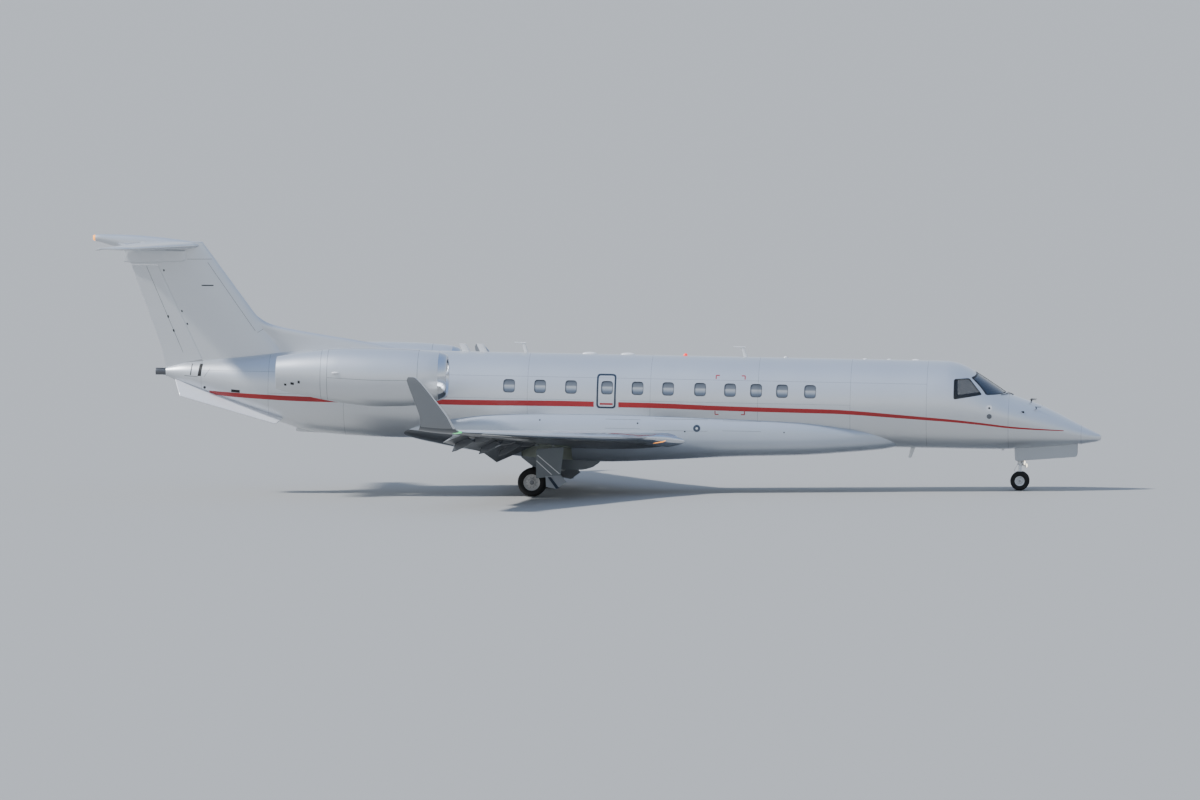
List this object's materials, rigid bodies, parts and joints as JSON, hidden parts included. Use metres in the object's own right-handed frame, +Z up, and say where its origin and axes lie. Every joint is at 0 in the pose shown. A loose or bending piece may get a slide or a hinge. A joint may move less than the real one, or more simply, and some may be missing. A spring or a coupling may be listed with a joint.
{
  "type": "business jet aeroplane",
  "caption": "Business jet with rear-mounted engines, T-tail, winglets and lowered flaps, parked on its landing gear. Its entry door, controls, flaps, steering, wheels and fans move.",
  "frame": {"origin": "centre of the overall box, on the ground that the tyres stand on", "axes": "+X to the nose, +Y to port, +Z up"},
  "size_m": [26.3092, 21.1208, 6.7931],
  "materials": {
    "silver_paint": "semi-gloss metallic silver",
    "pale_paint": "semi-gloss",
    "grey_paint": "satin",
    "gear_enamel": "satin",
    "polished_steel": "polished",
    "dark_steel": "heat-darkened",
    "titanium": "satin",
    "tyre_rubber": "matt",
    "window_glass": "tinted, glossy",
    "lining": "matt",
    "seat_leather": "matt"
  },
  "bodies": {
    "airframe": {"radome": "silver_paint", "forward_fuselage": "silver_paint", "cabin_fuselage": "silver_paint", "rear_fuselage": "silver_paint", "belly_fairing": "silver_paint", "fin": "silver_paint", "tailplane": "silver_paint", "bullet_fairing": "silver_paint", "wing_left": "silver_paint", "wing_right": "silver_paint", "nacelle_left": "silver_paint", "nacelle_right": "silver_paint", "pylon_left": "silver_paint", "pylon_right": "silver_paint", "ventral_strake_left": "pale_paint", "ventral_strake_right": "pale_paint", "winglet_left": "grey_paint", "winglet_right": "grey_paint", "nose_gear_door_left": "grey_paint", "nose_gear_door_right": "grey_paint", "main_leg_door_left": "grey_paint", "main_leg_door_right": "grey_paint", "wheel_well_door_left": "grey_paint", "wheel_well_door_right": "grey_paint", "nose_leg": "gear_enamel", "main_leg_left": "gear_enamel", "main_leg_right": "gear_enamel", "trailing_arm_left": "gear_enamel", "trailing_arm_right": "gear_enamel", "shock_strut_left": "polished_steel", "shock_strut_right": "polished_steel", "apu_exhaust": "dark_steel", "engine_core_left": "dark_steel", "engine_core_right": "dark_steel", "windscreen_left": "window_glass", "windscreen_right": "window_glass", "cockpit_window_left": "window_glass", "cockpit_window_right": "window_glass", "cockpit_floor": "lining", "instrument_panel": "lining", "pilot_seat_left": "seat_leather", "pilot_seat_right": "seat_leather"},
    "entry_door": {"entry_door": "silver_paint"},
    "rudder": {"rudder": "silver_paint"},
    "nose_steering": {"nose_steering_leg": "gear_enamel"},
    "nose_wheels": {"nose_wheels": "tyre_rubber"},
    "inboard_flap_left": {"inboard_flap_left": "silver_paint"},
    "inboard_flap_right": {"inboard_flap_right": "silver_paint"},
    "outboard_flap_left": {"outboard_flap_left": "silver_paint"},
    "outboard_flap_right": {"outboard_flap_right": "silver_paint"},
    "aileron_left": {"aileron_left": "silver_paint"},
    "aileron_right": {"aileron_right": "silver_paint"},
    "spoiler_left": {"spoiler_left": "silver_paint"},
    "spoiler_right": {"spoiler_right": "silver_paint"},
    "elevator_left": {"elevator_left": "silver_paint"},
    "elevator_right": {"elevator_right": "silver_paint"},
    "fan_left": {"fan_left": "titanium"},
    "fan_right": {"fan_right": "titanium"},
    "main_wheels_left": {"main_wheels_left": "tyre_rubber"},
    "main_wheels_right": {"main_wheels_right": "tyre_rubber"}
  },
  "joints": [
    {"name": "entry_door_hinge", "type": "hinge", "parent": "airframe", "child": "entry_door", "pos_m": [8.45621, 0.81829, 1.50482], "axis": [-0.9997, 0, 0.0244], "range_deg": [0, 125]},
    {"name": "rudder_hinge", "type": "hinge", "parent": "airframe", "child": "rudder", "pos_m": [-10.35882, 0, 3.57513], "axis": [-0.4229, 0, 0.9062], "range_deg": [-15, 15]},
    {"name": "nose_steering", "type": "hinge", "parent": "airframe", "child": "nose_steering", "pos_m": [11.02906, 0, 0.246], "axis": [0.0244, 0, 0.9997], "range_deg": [-71, 71]},
    {"name": "nose_wheels_spin", "type": "hinge", "parent": "nose_steering", "child": "nose_wheels", "pos_m": [11.02906, 0, 0.246], "axis": [0, 1, 0], "continuous": true},
    {"name": "inboard_flap_left_hinge", "type": "hinge", "parent": "airframe", "child": "inboard_flap_left", "pos_m": [-1.48736, 1.42, 1.24273], "axis": [-0.21, 0.9745, 0.0795], "range_deg": [-15, 30]},
    {"name": "inboard_flap_right_hinge", "type": "hinge", "parent": "airframe", "child": "inboard_flap_right", "pos_m": [-1.48736, -1.42, 1.24273], "axis": [0.21, 0.9745, -0.0795], "range_deg": [-15, 30]},
    {"name": "outboard_flap_left_hinge", "type": "hinge", "parent": "airframe", "child": "outboard_flap_left", "pos_m": [-1.98218, 3.72, 1.4298], "axis": [-0.2537, 0.9643, 0.076], "range_deg": [-15, 30]},
    {"name": "outboard_flap_right_hinge", "type": "hinge", "parent": "airframe", "child": "outboard_flap_right", "pos_m": [-1.98218, -3.72, 1.4298], "axis": [0.2537, 0.9643, -0.076], "range_deg": [-15, 30]},
    {"name": "aileron_left_hinge", "type": "hinge", "parent": "airframe", "child": "aileron_left", "pos_m": [-2.94107, 7.38, 1.88783], "axis": [-0.2536, 0.9648, 0.0693], "range_deg": [-15, 25]},
    {"name": "aileron_right_hinge", "type": "hinge", "parent": "airframe", "child": "aileron_right", "pos_m": [-2.94107, -7.38, 1.88783], "axis": [0.2536, 0.9648, -0.0693], "range_deg": [-15, 25]},
    {"name": "spoiler_left_hinge", "type": "hinge", "parent": "airframe", "child": "spoiler_left", "pos_m": [-1.68468, 3.95, 1.71757], "axis": [-0.2882, 0.9557, 0.0589], "range_deg": [0, 50]},
    {"name": "spoiler_right_hinge", "type": "hinge", "parent": "airframe", "child": "spoiler_right", "pos_m": [-1.68468, -3.95, 1.71757], "axis": [0.2882, 0.9557, -0.0589], "range_deg": [0, 50]},
    {"name": "elevator_left_hinge", "type": "hinge", "parent": "airframe", "child": "elevator_left", "pos_m": [-11.8621, 0.19, 6.51774], "axis": [-0.1501, 0.9887, 0.0037], "range_deg": [-9, 32]},
    {"name": "elevator_right_hinge", "type": "hinge", "parent": "airframe", "child": "elevator_right", "pos_m": [-11.8621, -0.19, 6.51774], "axis": [0.1501, 0.9887, -0.0037], "range_deg": [-9, 32]},
    {"name": "fan_left_spin", "type": "hinge", "parent": "airframe", "child": "fan_left", "pos_m": [-4.76782, 2.1, 3.1384], "axis": [0.9997, 0, -0.0244], "continuous": true},
    {"name": "main_wheels_left_spin", "type": "hinge", "parent": "airframe", "child": "main_wheels_left", "pos_m": [-1.52894, 2.05, 0.368], "axis": [0, 1, 0], "continuous": true},
    {"name": "fan_right_spin", "type": "hinge", "parent": "airframe", "child": "fan_right", "pos_m": [-4.76782, -2.1, 3.1384], "axis": [0.9997, 0, -0.0244], "continuous": true},
    {"name": "main_wheels_right_spin", "type": "hinge", "parent": "airframe", "child": "main_wheels_right", "pos_m": [-1.52894, -2.05, 0.368], "axis": [0, 1, 0], "continuous": true}
  ],
  "couplings": [
    {"joint": "elevator_right_hinge", "follows": "elevator_left_hinge", "ratio": 1}
  ]
}
